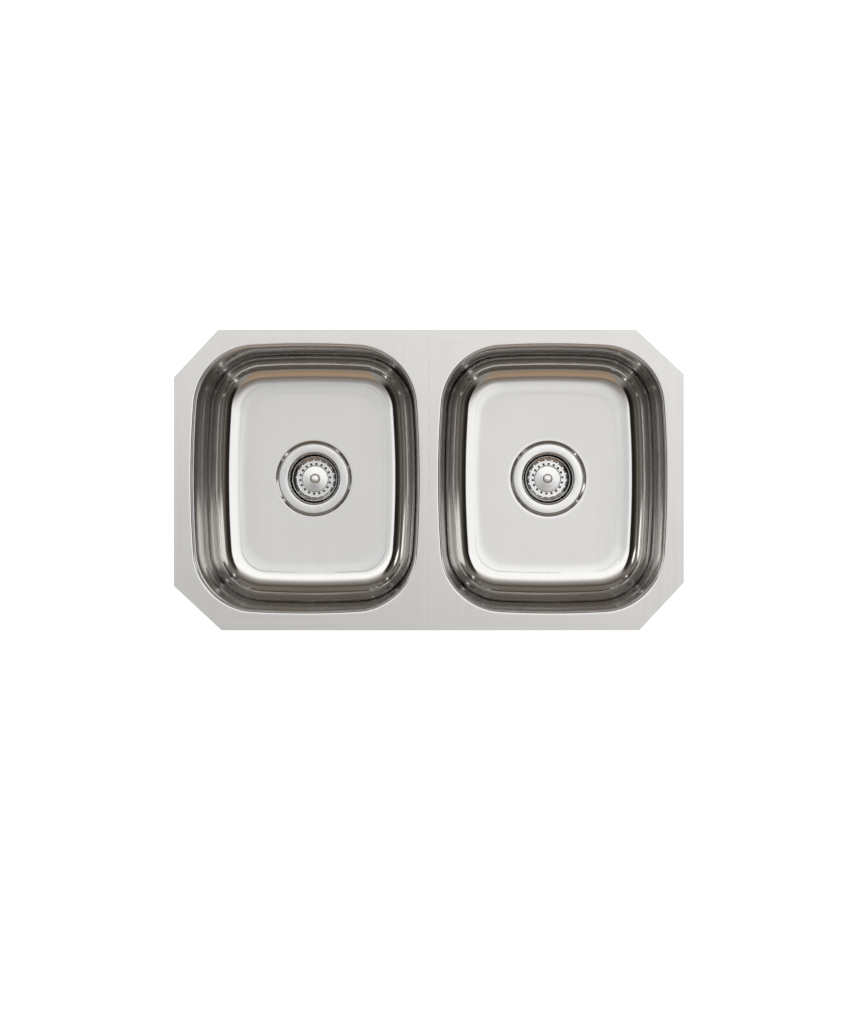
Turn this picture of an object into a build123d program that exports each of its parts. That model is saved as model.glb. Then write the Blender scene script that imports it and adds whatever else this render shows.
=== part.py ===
from build123d import *
import os
from math import radians, tan

# Double-bowl kitchen sink with two basket strainer wastes. The origin is the middle of the
# flange's top face, +X is right, +Y is the rear and +Z is up. All sizes are in millimetres.

# Flange
sink_width = 780.0  # left edge to right edge
sink_length = 460.0  # front edge to rear edge
sheet = 1.0  # steel thickness
clip_short = 68.0  # shorter leg of a clipped flange corner
clip_long = 73.0  # longer leg of a clipped flange corner

# Flat steel round the mouths, up to where the rims start to roll down
outer_land = 23.5  # beside the left and the right mouth
divider_land = 25.0  # between the two mouths
rear_land = 20.0
front_land = 24.0

# Bowls
bowl_depth = 190.0  # flange top to the middle of the floor
corner_radius = 98.0  # mouth corners seen from above
side_bow = 12.5  # how far the left and right walls bow out past the mouth corners
end_bow = 9.5  # the same for the front and rear walls
draft_angle = 2.5  # lean of the walls, in degrees
floor_radius = 46.0  # inside radius between wall and floor
floor_dish = 5500.0  # radius of the dished floor
rim_roll = 5.0  # radius of the rolled rim

# Drain recess pressed into the middle of each floor
recess_margin = 5.2  # waste flange to the edge of the recess
recess_lean = 6.6  # how much smaller the recess is at its bottom
recess_depth = 5.0
recess_edge = 3.0  # radius where the floor turns down
recess_corner = 2.0  # radius at the recess bottom
drain_hole_clearance = 2.5  # hole in the floor to the threaded wall, all round

# Weld between the half flanges and sound pads under the floors
weld_width = 5.0
weld_height = 1.2  # root of the weld below the flange
pad_thickness = 3.0
pad_glue = 0.1  # adhesive between floor and pad
pad_margin = 10.0  # pad edge to the start of the floor radius
pad_corner = 45.0
pad_clear = 8.0  # pad hole to the drain recess

# Strainer body
thread_radius = 42.0  # outside of the threaded wall
flange_land = 11.5  # flange beyond the hole in the floor
flange_thickness = 1.5
flange_edge = 1.0  # rounding of the flange's rim
seal_thickness = 1.5  # ring between flange and recess
seal_inset = 3.5  # seal's rim to the flange's rim
cup_wall = 2.2
cup_lean = 1.3  # how much smaller the straight wall is at its bottom
shoulder_radius = 4.5  # where the flange turns down into the cup
foot_height = 12.0  # cup's floor up to its straight wall
valve_seat_radius = 32.0  # flat floor that the stopper closes on
foot_rounding = 5.0  # outside rounding from the cup into its floor
foot_bend = 10.0  # inside rounding from the cup into its floor

# Outlet neck brazed under the cup's floor, and the spider pressed into it
neck_radius = 23.9
neck_wall = 2.9
neck_length = 23.8  # below its collar
collar_radius = 29.0
collar_thickness = 2.0
collar_rounding = 1.5
spider_gap = 1.1  # stem nut to the guide spider
spider_height = 6.0
spider_arm_width = 4.0
spider_arm_count = 3
hub_wall = 2.5
spider_ring_wall = 1.6

# Clamping stack under the recess
ring_clearance = 0.6  # rings to the threaded wall, all round
gasket_thickness = 3.0
gasket_width = 11.5
friction_thickness = 1.0
friction_width = 10.0
nut_clearance = 0.15  # nut to the threaded wall, all round
nut_height = 12.0
nut_wall = 7.0
nut_washer_height = 3.0  # wider face of the nut
nut_washer_width = 3.0
nut_lug_count = 8
nut_lug_width = 9.0
nut_lug_reach = 4.5

# Basket
basket_drop = 21.5  # flange top to the basket's rim
basket_clearance = 2.3  # rim to the lower end of the cup's straight wall
basket_rim_width = 0.9
basket_sheet = 0.8
basket_depth = 12.5  # rim to the upper side of the basket's floor
basket_lean = 4.5  # how much smaller the basket is at its floor
basket_bend = 2.5  # rounding from wall to floor
disc_radius = 21.7  # edge of the raised middle
disc_step = 1.8  # height of the step round the raised middle
disc_step_lean = 0.9  # how much smaller the raised middle is above its step
disc_bend = 1.0  # rounding at both ends of the step
disc_dome = 1.2  # further rise from the step to the flat top
boss_radius = 9.0  # flat top of the raised middle
hole_count = 18
hole_radius = 2.0
hole_margin = 2.6  # edge of the raised middle to the middle of the holes
hole_start = 5.5  # turn of the first hole from +X, in degrees
slot_width = 3.0
slot_height = 8.0
slot_drop = 1.5  # slot's lower end below the upper side of the basket's floor

# Knob, stem and stopper
stem_radius = 3.0
stem_fit = 0.05  # pieces on the stem to the stem, all round
knob_radius = 7.8
knob_height = 13.0
knob_dome_rise = 1.8  # domed top above its edge
knob_edge = 2.0  # rounding round the top
knob_under_edge = 0.8  # rounding round the underside
knob_neck_radius = 5.0
knob_neck_height = 4.5
knob_bore_depth = 8.0
seat_gap = 0.3  # stopper to its seat
water_gap = 2.7  # basket's floor to the stopper
stopper_radius = 28.0
stopper_thickness = 3.2
stopper_hub_radius = 8.0
stopper_rounding = 1.0
washer_radius = 9.0
washer_thickness = 1.2
stem_nut_across = 10.0  # across flats
stem_nut_height = 5.0
sleeve_radius = 4.7
sleeve_height = 9.0
sleeve_fit = 0.3  # sleeve to the hub's bore, all round
stem_foot_radius = 4.3
stem_foot_height = 1.5

# Cutting solids
cut_spare = 10.0  # how far they reach past what they cut

# Values worked out from the sizes above
bowl_width = (sink_width - divider_land) / 2 - outer_land
bowl_length = sink_length - rear_land - front_land
bowl_x = divider_land / 2 + bowl_width / 2
bowl_y = sink_length / 2 - rear_land - bowl_length / 2
wall_inset = rim_roll * tan(radians(45 - draft_angle / 2))
floor_inset = wall_inset + bowl_depth * tan(radians(draft_angle)) + floor_radius
drain_hole_radius = thread_radius + drain_hole_clearance
flange_radius = drain_hole_radius + flange_land
recess_radius = flange_radius + recess_margin
seat_z = -bowl_depth - recess_depth
seal_top = seat_z + seal_thickness
flange_top = seal_top + flange_thickness
basket_top = flange_top - basket_drop
basket_floor = basket_top - basket_depth
stopper_bottom = basket_floor - basket_sheet - water_gap - stopper_thickness
cup_floor = stopper_bottom - seat_gap
cup_radius = thread_radius - cup_wall
bend_z = cup_floor + foot_height
neck_bore = neck_radius - neck_wall
collar_top = cup_floor - cup_wall
collar_bottom = collar_top - collar_thickness
neck_end = collar_bottom - neck_length
hub_bore = sleeve_radius + sleeve_fit
gasket_top = seat_z - sheet
friction_top = gasket_top - gasket_thickness
nut_top = friction_top - friction_thickness
basket_radius = cup_radius - cup_lean - basket_clearance
hole_circle = disc_radius + hole_margin
boss_top = basket_floor + disc_step + disc_dome
washer_bottom = stopper_bottom - washer_thickness
stem_nut_bottom = washer_bottom - stem_nut_height
spider_top = stem_nut_bottom - spider_gap
sleeve_bottom = stem_nut_bottom - sleeve_height
bore_radius = stem_radius + stem_fit


def vertex_near(sketch, radius, height):
    """The corner of an upright half section that lies nearest a radius and a height."""
    return sketch.vertices().sort_by_distance((radius, height, 0))[0]


def ring(inner, outer, bottom, height):
    """A flat ring round the drain axis."""
    with BuildPart() as flat_ring:
        with BuildSketch(Plane.XY.offset(bottom)):
            Circle(outer)
            Circle(inner, mode=Mode.SUBTRACT)
        extrude(amount=height)
    return flat_ring.part


def bowl_plug(skin):
    """The room inside a bowl as a solid, grown outwards by skin, with its mouth on z = 0."""
    corner_x = bowl_width / 2 - side_bow
    corner_y = bowl_length / 2 - end_bow
    with BuildPart() as plug:
        # Built mouth down, so that the draft narrows the solid on its way up.
        with BuildSketch() as mouth:
            with BuildLine():
                ThreePointArc((corner_x, -corner_y), (bowl_width / 2, 0), (corner_x, corner_y))
                ThreePointArc((corner_x, corner_y), (0, bowl_length / 2), (-corner_x, corner_y))
                ThreePointArc((-corner_x, corner_y), (-bowl_width / 2, 0), (-corner_x, -corner_y))
                ThreePointArc((-corner_x, -corner_y), (0, -bowl_length / 2), (corner_x, -corner_y))
            make_face()
            fillet(mouth.vertices(), radius=corner_radius)
            offset(amount=skin - wall_inset)
        extrude(amount=bowl_depth + cut_spare, taper=draft_angle)
        with Locations((0, 0, bowl_depth - floor_dish)):
            Sphere(floor_dish + skin, mode=Mode.INTERSECT)
        fillet(plug.faces().sort_by(Axis.Z)[-1].edges(), radius=floor_radius + skin)
        # The drain recess stands on the dished floor.
        recess_base = bowl_depth - recess_depth
        lean = recess_lean / recess_depth
        with Locations((0, 0, recess_base)):
            Cone(
                recess_radius + skin + lean * recess_depth,
                recess_radius + skin - recess_lean - lean * skin,
                2 * recess_depth + skin,
                align=(Align.CENTER, Align.CENTER, Align.MIN),
            )
        bottom_edges = plug.faces().sort_by(Axis.Z)[-1].edges()
        fillet(bottom_edges, radius=recess_corner + skin)
        circles = plug.edges().filter_by(GeomType.CIRCLE)
        floor_edge = circles.sort_by_distance((recess_radius, 0, bowl_depth))[0]
        fillet(floor_edge, radius=recess_edge - skin)
    return plug.part.rotate(Axis.X, 180)


def flange_points(side, rear_clip, front_clip):
    """Outline of one half flange, whose outer corners are clipped by (x leg, y leg)."""
    half_x = side * sink_width / 2
    half_y = sink_length / 2
    return [
        (0, -half_y),
        (half_x - side * front_clip[0], -half_y),
        (half_x, -half_y + front_clip[1]),
        (half_x, half_y - rear_clip[1]),
        (half_x - side * rear_clip[0], half_y),
        (0, half_y),
    ]


def bowl_pressing(side, rear_clip, front_clip, inside, outside):
    """One deep-drawn bowl, between its inside and outside plugs, with its half of the flange."""
    with BuildPart() as bowl:
        with BuildSketch():
            with BuildLine():
                Polyline(*flange_points(side, rear_clip, front_clip), close=True)
            make_face()
        extrude(amount=-sheet)
        with Locations((side * bowl_x, bowl_y, 0)):
            add(outside)
            add(inside, mode=Mode.SUBTRACT)
            Cylinder(drain_hole_radius, 2 * (cut_spare - seat_z), mode=Mode.SUBTRACT)
        level_faces = bowl.faces().filter_by(Axis.Z).sort_by(Axis.Z)
        fillet(level_faces[-1].inner_wires()[0].edges(), radius=rim_roll)
        level_faces = bowl.faces().filter_by(Axis.Z).sort_by(Axis.Z)
        fillet(level_faces[-2].inner_wires()[0].edges(), radius=rim_roll - sheet)
    return bowl.part


def centre_weld():
    """Root bead of the seam between the half flanges; its top side is ground flush."""
    with BuildPart() as weld:
        with BuildSketch(Plane.XZ):
            with BuildLine():
                bead_start = (-weld_width / 2, -sheet)
                bead_end = (weld_width / 2, -sheet)
                ThreePointArc(bead_start, (0, -sheet - weld_height), bead_end)
                Line(bead_end, bead_start)
            make_face()
        extrude(amount=sink_length / 2, both=True)
    return weld.part


def sound_pad(side):
    """Damping pad under one floor, open round the drain recess."""
    dish_centre = (side * bowl_x, bowl_y, floor_dish - bowl_depth)
    pad_dish = floor_dish + sheet + pad_glue
    pad_plane = Plane((side * bowl_x, bowl_y, -bowl_depth - pad_thickness - cut_spare))
    with BuildPart() as pad:
        with BuildSketch(pad_plane):
            RectangleRounded(
                bowl_width - 2 * (floor_inset + pad_margin),
                bowl_length - 2 * (floor_inset + pad_margin),
                pad_corner,
            )
            Circle(recess_radius + recess_edge + pad_clear, mode=Mode.SUBTRACT)
        extrude(amount=pad_thickness + 2 * cut_spare)
        with Locations(dish_centre):
            Sphere(pad_dish + pad_thickness, mode=Mode.INTERSECT)
            Sphere(pad_dish, mode=Mode.SUBTRACT)
    return pad.part


def strainer_body():
    """Flanged cup of the waste, whose flat floor is the stopper's seat."""
    low_radius = cup_radius - cup_lean
    with BuildPart() as body:
        with BuildSketch(Plane.XZ) as half:
            with BuildLine():
                Polyline(
                    (flange_radius, seal_top),
                    (flange_radius, flange_top),
                    (cup_radius, flange_top),
                    (low_radius, bend_z),
                    (valve_seat_radius, cup_floor),
                    (neck_bore, cup_floor),
                    (neck_bore, collar_top),
                    (valve_seat_radius + cup_wall, collar_top),
                    (thread_radius, bend_z),
                    (thread_radius, seal_top),
                    close=True,
                )
            make_face()
            fillet(vertex_near(half, cup_radius, flange_top), radius=shoulder_radius)
            fillet(vertex_near(half, flange_radius, flange_top), radius=flange_edge)
            fillet(vertex_near(half, low_radius, bend_z), radius=foot_bend)
            fillet(vertex_near(half, thread_radius, bend_z), radius=foot_rounding)
        revolve(axis=Axis.Z)
    return body.part


def outlet_neck():
    """Outlet tube with its brazing collar."""
    with BuildPart() as neck:
        with BuildSketch(Plane.XZ) as half:
            with BuildLine():
                Polyline(
                    (neck_bore, collar_top),
                    (collar_radius, collar_top),
                    (collar_radius, collar_bottom),
                    (neck_radius, collar_bottom),
                    (neck_radius, neck_end),
                    (neck_bore, neck_end),
                    close=True,
                )
            make_face()
            fillet(vertex_near(half, collar_radius, collar_bottom), radius=collar_rounding)
        revolve(axis=Axis.Z)
    return neck.part


def stem_guide():
    """Spider in the outlet neck: a ring, three arms and the hub that the stem slides in."""
    with BuildPart() as guide:
        with BuildSketch(Plane.XY.offset(spider_top)):
            Circle(neck_bore)
            Circle(neck_bore - spider_ring_wall, mode=Mode.SUBTRACT)
            Circle(hub_bore + hub_wall)
            with PolarLocations(0, spider_arm_count):
                Rectangle(
                    neck_bore - spider_ring_wall / 2,
                    spider_arm_width,
                    align=(Align.MIN, Align.CENTER),
                )
            Circle(hub_bore, mode=Mode.SUBTRACT)
        extrude(amount=-spider_height)
    return guide.part


def lock_nut():
    """Large nut under the recess, with a wide face on top and lugs round its wall."""
    inner = thread_radius + nut_clearance
    outer = inner + nut_wall
    with BuildPart() as nut:
        with BuildSketch(Plane.XY.offset(nut_top)):
            Circle(outer + nut_washer_width)
        extrude(amount=-nut_washer_height)
        with BuildSketch(Plane.XY.offset(nut_top)):
            Circle(outer)
            with PolarLocations(0, nut_lug_count):
                Rectangle(outer + nut_lug_reach, nut_lug_width, align=(Align.MIN, Align.CENTER))
        extrude(amount=-nut_height)
        with BuildSketch(Plane.XY.offset(nut_top)):
            Circle(inner)
        extrude(amount=-nut_height, mode=Mode.SUBTRACT)
    return nut.part


def basket_cup():
    """Perforated basket with a raised middle for the knob."""
    wall_top = basket_radius - basket_rim_width
    wall_bottom = wall_top - basket_lean
    slot_z = basket_floor - slot_drop + slot_height / 2
    with BuildPart() as slot:
        # Each slot starts in the bend, so that it cuts the wall but not the floor's holes.
        with BuildSketch(Plane.YZ.offset(wall_bottom - basket_bend / 2)):
            with Locations((0, slot_z)):
                SlotOverall(slot_height, slot_width, rotation=90)
        extrude(amount=basket_lean + cut_spare)
    with BuildPart() as basket:
        with BuildSketch(Plane.XZ):
            with BuildLine():
                FilletPolyline(
                    (basket_radius, basket_top),
                    (wall_top, basket_top),
                    (wall_bottom, basket_floor),
                    (disc_radius, basket_floor),
                    (disc_radius - disc_step_lean, basket_floor + disc_step),
                    (boss_radius, boss_top),
                    (bore_radius, boss_top),
                    radius=(basket_sheet, basket_bend, disc_bend, disc_bend, basket_bend),
                )
                offset(amount=basket_sheet, side=Side.LEFT)
            make_face()
        revolve(axis=Axis.Z)
        with BuildSketch(Plane.XY.offset(boss_top)):
            with PolarLocations(hole_circle, hole_count, start_angle=hole_start):
                Circle(hole_radius)
        extrude(amount=-basket_depth, mode=Mode.SUBTRACT)
        with PolarLocations(0, hole_count, start_angle=hole_start + 180 / hole_count):
            add(slot.part, mode=Mode.SUBTRACT)
    return basket.part


def basket_knob():
    """Domed knob on a short neck, bored from below for the stem."""
    knob_top = boss_top + knob_height
    edge_z = knob_top - knob_dome_rise
    head_bottom = boss_top + knob_neck_height
    with BuildPart() as knob:
        with BuildSketch(Plane.XZ) as half:
            with BuildLine():
                TangentArc((0, knob_top), (knob_radius, edge_z), tangent=(1, 0))
                Polyline(
                    (knob_radius, edge_z),
                    (knob_radius, head_bottom),
                    (knob_neck_radius, head_bottom),
                    (knob_neck_radius, boss_top),
                    (0, boss_top),
                    (0, knob_top),
                )
            make_face()
            fillet(vertex_near(half, knob_radius, edge_z), radius=knob_edge)
            fillet(vertex_near(half, knob_radius, head_bottom), radius=knob_under_edge)
        revolve(axis=Axis.Z)
        with BuildSketch(Plane.XY.offset(boss_top)):
            Circle(bore_radius)
        extrude(amount=knob_bore_depth, mode=Mode.SUBTRACT)
    return knob.part


def basket_stem():
    """Rod from the knob down to its widened foot under the sleeve."""
    with BuildPart() as stem:
        with BuildSketch(Plane.XY.offset(sleeve_bottom)):
            Circle(stem_radius)
        extrude(amount=boss_top + knob_bore_depth - sleeve_bottom)
        with BuildSketch(Plane.XY.offset(sleeve_bottom)):
            Circle(stem_foot_radius)
        extrude(amount=-stem_foot_height)
    return stem.part


def stopper_seal():
    """Rubber plug: a disc on the cup's floor and a hub up to the basket's raised middle."""
    hub_top = boss_top - basket_sheet
    disc_top = stopper_bottom + stopper_thickness
    with BuildPart() as stopper:
        with BuildSketch(Plane.XZ) as half:
            with BuildLine():
                Polyline(
                    (bore_radius, hub_top),
                    (bore_radius, stopper_bottom),
                    (stopper_radius, stopper_bottom),
                    (stopper_radius, disc_top),
                    (stopper_hub_radius, disc_top),
                    (stopper_hub_radius, hub_top),
                    close=True,
                )
            make_face()
            fillet(vertex_near(half, stopper_radius, disc_top), radius=stopper_rounding)
            fillet(vertex_near(half, stopper_hub_radius, disc_top), radius=stopper_rounding)
        revolve(axis=Axis.Z)
    return stopper.part


def stem_nut():
    """Hexagon nut that holds plug and basket on the stem."""
    with BuildPart() as nut:
        with BuildSketch(Plane.XY.offset(stem_nut_bottom)):
            RegularPolygon(stem_nut_across / 2, 6, major_radius=False)
            Circle(bore_radius, mode=Mode.SUBTRACT)
        extrude(amount=stem_nut_height)
    return nut.part


def export(piece, name):
    """Label one piece and write its file."""
    piece.label = name
    export_step(piece, f"parts/{name}.step")


os.makedirs("parts", exist_ok=True)

# The clipped corners alternate, as if both halves were the same trimmed blank turned round.
inside_plug = bowl_plug(0)
outside_plug = bowl_plug(sheet)
short_long = (clip_short, clip_long)
long_short = (clip_long, clip_short)
export(bowl_pressing(-1, short_long, long_short, inside_plug, outside_plug), "left_bowl")
export(bowl_pressing(1, long_short, short_long, inside_plug, outside_plug), "right_bowl")
export(centre_weld(), "centre_weld")

ring_bore = thread_radius + ring_clearance
drain_pieces = {
    "strainer_body": strainer_body(),
    "outlet_neck": outlet_neck(),
    "stem_guide": stem_guide(),
    "flange_seal": ring(drain_hole_radius, flange_radius - seal_inset, seat_z, seal_thickness),
    "body_gasket": ring(ring_bore, ring_bore + gasket_width, friction_top, gasket_thickness),
    "friction_ring": ring(ring_bore, ring_bore + friction_width, nut_top, friction_thickness),
    "lock_nut": lock_nut(),
    "basket_cup": basket_cup(),
    "basket_knob": basket_knob(),
    "basket_stem": basket_stem(),
    "stopper_seal": stopper_seal(),
    "stopper_washer": ring(bore_radius, washer_radius, washer_bottom, washer_thickness),
    "stem_nut": stem_nut(),
    "stem_sleeve": ring(bore_radius, sleeve_radius, sleeve_bottom, sleeve_height),
}
for side, side_name in ((-1, "left"), (1, "right")):
    export(sound_pad(side), f"{side_name}_sound_pad")
    drain_axis = Location((side * bowl_x, bowl_y, 0))
    for piece_name, piece in drain_pieces.items():
        export(piece.moved(drain_axis), f"{side_name}_{piece_name}")
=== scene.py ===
"""Dresses the double-bowl sink on its CAD frame and sets it in a plain studio."""
import logging
import math
from dataclasses import dataclass
from enum import Enum
from typing import Sequence

import bmesh
import bpy
from mathutils import Matrix, Vector


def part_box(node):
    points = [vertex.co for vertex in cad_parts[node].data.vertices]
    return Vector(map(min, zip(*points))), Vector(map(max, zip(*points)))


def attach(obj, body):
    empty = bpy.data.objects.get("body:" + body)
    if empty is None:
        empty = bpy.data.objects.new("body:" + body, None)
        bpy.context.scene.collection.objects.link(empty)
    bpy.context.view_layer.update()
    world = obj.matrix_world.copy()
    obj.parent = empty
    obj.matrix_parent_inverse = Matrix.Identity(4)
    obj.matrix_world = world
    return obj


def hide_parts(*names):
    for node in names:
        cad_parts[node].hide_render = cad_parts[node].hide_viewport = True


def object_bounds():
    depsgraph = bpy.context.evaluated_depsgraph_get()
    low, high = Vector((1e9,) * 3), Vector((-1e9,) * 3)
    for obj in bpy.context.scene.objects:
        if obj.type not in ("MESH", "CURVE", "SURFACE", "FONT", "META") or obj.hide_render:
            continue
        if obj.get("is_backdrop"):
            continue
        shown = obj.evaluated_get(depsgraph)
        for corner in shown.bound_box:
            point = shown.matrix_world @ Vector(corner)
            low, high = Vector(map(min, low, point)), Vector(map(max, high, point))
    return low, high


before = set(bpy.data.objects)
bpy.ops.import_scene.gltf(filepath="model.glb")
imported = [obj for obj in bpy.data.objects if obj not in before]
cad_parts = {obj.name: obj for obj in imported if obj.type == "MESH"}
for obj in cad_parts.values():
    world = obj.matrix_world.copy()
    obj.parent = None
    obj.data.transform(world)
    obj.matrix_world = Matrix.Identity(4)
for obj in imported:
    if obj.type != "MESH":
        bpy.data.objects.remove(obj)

LOG = logging.getLogger("sink")
MM = 0.001
MERGE = 0.01 * MM
Piece = bpy.types.Object
Mesh = bmesh.types.BMesh
Material = bpy.types.Material
Socket = bpy.types.NodeSocket
Colour = tuple[float, float, float]
Span = tuple[float, float]
Value = Socket | float
Paint = Socket | tuple[float, float, float, float]
Stops = tuple[tuple[float, Colour], ...]
WHITE = (1.0, 1.0, 1.0, 1.0)


class Side(Enum):
    """Which bowl a piece belongs to; the value is its direction along X."""

    LEFT = -1
    RIGHT = 1

    def node(self, piece: str) -> str:
        """Name of this side's CAD node for a piece."""
        return f"{self.name.lower()}_{piece}"

    @property
    def drain(self) -> Vector:
        """Middle of the drain, on the flange plane."""
        low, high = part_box(self.node("strainer_body"))
        return Vector(((low[0] + high[0]) / 2, (low[1] + high[1]) / 2, 0.0))


class Zone(Enum):
    """Finish zone of a bowl pressing; the value is its material slot."""

    FLANGE = 0
    BOWL = 1
    UNDERSIDE = 2


class Layer(Enum):
    """Vertex attribute of a bowl pressing that its finish reads."""

    DOWN = "down"  # metres past the start of the floor, below zero on the wall
    SATIN = "satin"  # 1 where the floor is brushed satin


@dataclass(frozen=True)
class Corner:
    """A corner of a section, with the radius that rounds it."""

    across: float
    height: float
    radius: float = 0.0


def rounded_path(corners: Sequence[Corner], steps: int, closed: bool = False) -> list[Vector]:
    """Runs through corners, each rounded corner as an arc.

    Args:
        corners: The section's corners in order.
        steps: Number of stretches in each arc.
        closed: Whether the last corner joins the first.

    Returns:
        Points as (across, height) vectors; a rounded corner gives steps + 1 of them.
    """
    points: list[Vector] = []
    for index, corner in enumerate(corners):
        here = Vector((corner.across, corner.height))
        if corner.radius == 0.0:
            points.append(here)
            continue
        before = corners[index - 1]
        after = corners[(index + 1) % len(corners)] if closed else corners[index + 1]
        back = (Vector((before.across, before.height)) - here).normalized()
        ahead = (Vector((after.across, after.height)) - here).normalized()
        half = back.angle(ahead) / 2
        centre = here + (back + ahead).normalized() * corner.radius / math.sin(half)
        start = here + back * corner.radius / math.tan(half) - centre
        end = here + ahead * corner.radius / math.tan(half) - centre
        turn = start.angle_signed(end)
        for step in range(steps + 1):
            spoke = start.copy()
            spoke.rotate(Matrix.Rotation(-turn * step / steps, 2))
            points.append(centre + spoke)
    return points


def to_object(name: str, bm: Mesh, sharp_angle: float = 40.0) -> Piece:
    """Turns a bmesh into a smooth-shaded object in the scene.

    Args:
        name: Object name.
        bm: Finished bmesh, freed here.
        sharp_angle: Edges that turn by more degrees than this stay sharp.

    Returns:
        The new object, at the origin.
    """
    mesh = bpy.data.meshes.new(name)
    for face in bm.faces:
        face.smooth = True
    for edge in bm.edges:
        if len(edge.link_faces) == 2:
            edge.smooth = edge.calc_face_angle(0.0) < math.radians(sharp_angle)
        else:
            edge.smooth = False
    bm.to_mesh(mesh)
    bm.free()
    piece = bpy.data.objects.new(name, mesh)
    bpy.context.scene.collection.objects.link(piece)
    return piece


def settle(piece: Piece, material: Material, slot: str, body: str, *nodes: str) -> None:
    """Finishes a new piece: its material, body and the nodes it stands for.

    Args:
        piece: The new piece.
        material: Its finish.
        slot: Material slot of the record; not used.
        body: Body that it rides on.
        nodes: CAD nodes that it replaces.
    """
    piece.data.materials.append(material)
    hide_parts(*nodes)
    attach(piece, body)
    LOG.info("built %s", piece.name)


def dress_node(node: str, material: Material) -> None:
    """Gives a CAD node that stays a finish of its own.

    Args:
        node: Name of the CAD node.
        material: Its finish.
    """
    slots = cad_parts[node].data.materials
    slots.clear()
    slots.append(material)
    LOG.info("dressed %s", node)


def turned(corners: Sequence[Corner], arc_steps: int, centre: Vector, around: int) -> Mesh:
    """Spins a closed section round an upright axis.

    Args:
        corners: Corners of the section as radius and height.
        arc_steps: Number of stretches in each rounded corner.
        centre: Point of the axis.
        around: Number of stretches round the axis.

    Returns:
        A new mesh with the ring.
    """
    bm = bmesh.new()
    section = rounded_path(corners, arc_steps, closed=True)
    verts = [bm.verts.new((centre.x + point.x, centre.y, point.y)) for point in section]
    edges = [bm.edges.new(pair) for pair in zip(verts, verts[1:] + verts[:1])]
    bmesh.ops.spin(
        bm,
        geom=verts + edges,
        cent=centre,
        axis=(0.0, 0.0, 1.0),
        angle=math.tau,
        steps=around,
        use_merge=True,
    )
    return bm


@dataclass(frozen=True)
class Thread:
    """A screw thread's ridge on the outside of a round wall."""

    crest: float
    root: float
    pitch: float
    top: float
    turns: int
    steps_per_turn: int = 64
    sunk_share: float = 0.3
    foot_share: float = 0.8
    crest_shares: tuple[float, float] = (0.46, 0.34)

    @property
    def low(self) -> float:
        """Height of the ridge's lower end."""
        return self.top - (self.turns + self.foot_share) * self.pitch

    def cut(self, bm: Mesh, centre: Vector) -> None:
        """Adds the ridge, sunk a little into the wall that carries it.

        Args:
            bm: Mesh that gets the ridge.
            centre: Point of the axis.
        """
        foot = self.root - self.sunk_share * (self.crest - self.root)
        section = [(foot, 0.0), (foot, self.foot_share)]
        section += [(self.crest, share) for share in self.crest_shares]
        verts = [
            bm.verts.new((centre.x + radius, centre.y, self.top - share * self.pitch))
            for radius, share in section
        ]
        start = bm.faces.new(verts)
        bmesh.ops.spin(
            bm,
            geom=[start],
            cent=centre,
            axis=(0.0, 0.0, 1.0),
            dvec=(0.0, 0.0, -self.pitch / self.steps_per_turn),
            angle=math.tau * self.turns,
            steps=self.steps_per_turn * self.turns,
            use_merge=False,
        )
        if not start.is_valid:
            bm.faces.new(verts)


def closed_up(bm: Mesh) -> None:
    """Merges doubles and turns every face outwards."""
    bmesh.ops.remove_doubles(bm, verts=bm.verts, dist=MERGE)
    bmesh.ops.recalc_face_normals(bm, faces=bm.faces)


class RingSkin:
    """A skin that grows from a closed ring of edges, one extrusion at a time."""

    def __init__(self, bm: Mesh, points: Sequence[Vector]) -> None:
        """Starts the skin.

        Args:
            bm: Mesh that the skin belongs to.
            points: Places of the first ring's vertices.
        """
        self.bm = bm
        made = bmesh.ops.create_circle(bm, cap_ends=False, segments=len(points), radius=1.0)
        self.ring: list[bmesh.types.BMVert] = made["verts"]
        for vert, point in zip(self.ring, points):
            vert.co = point

    @property
    def edges(self) -> list[bmesh.types.BMEdge]:
        """Edges of the newest ring."""
        pairs = zip(self.ring, self.ring[1:] + self.ring[:1])
        return [self.bm.edges.get(pair) for pair in pairs]

    def grow(self, points: Sequence[Vector], zone: int = 0) -> None:
        """Extrudes the newest ring and moves the copy into place.

        Args:
            points: Places of the new ring's vertices.
            zone: Material slot of the new faces.
        """
        made = bmesh.ops.extrude_edge_only(self.bm, edges=self.edges)["geom"]
        fresh = {item for item in made if isinstance(item, bmesh.types.BMVert)}
        moved: list[bmesh.types.BMVert] = []
        for vert in self.ring:
            others = (edge.other_vert(vert) for edge in vert.link_edges)
            moved.append(next(other for other in others if other in fresh))
        for vert, point in zip(moved, points):
            vert.co = point
            for face in vert.link_faces:
                face.material_index = zone
        self.ring = moved


class BowlSkin(RingSkin):
    """A bowl's skin, whose rings carry the layers that the bowl's finish reads."""

    def __init__(self, bm: Mesh, points: Sequence[Vector], run: float) -> None:
        """Starts the skin.

        Args:
            bm: Mesh that the skin belongs to.
            points: Places of the first ring's vertices.
            run: Distance of the first ring past the start of the floor.
        """
        self.down = bm.verts.layers.float.new(Layer.DOWN.value)
        self.satin = bm.verts.layers.float.new(Layer.SATIN.value)
        super().__init__(bm, points)
        self.mark(run, 0.0)

    def mark(self, run: float, satin: float) -> None:
        """Marks the newest ring."""
        for vert in self.ring:
            vert[self.down] = run
            vert[self.satin] = satin

    def lay(self, points: Sequence[Vector], zone: Zone, run: float, satin: float = 0.0) -> None:
        """Grows and marks a ring.

        Args:
            points: Places of the new ring's vertices.
            zone: Finish zone of the new faces.
            run: Distance of the ring past the start of the floor.
            satin: 1 where the ring is brushed satin.
        """
        self.grow(points, zone.value)
        self.mark(run, satin)


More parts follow.
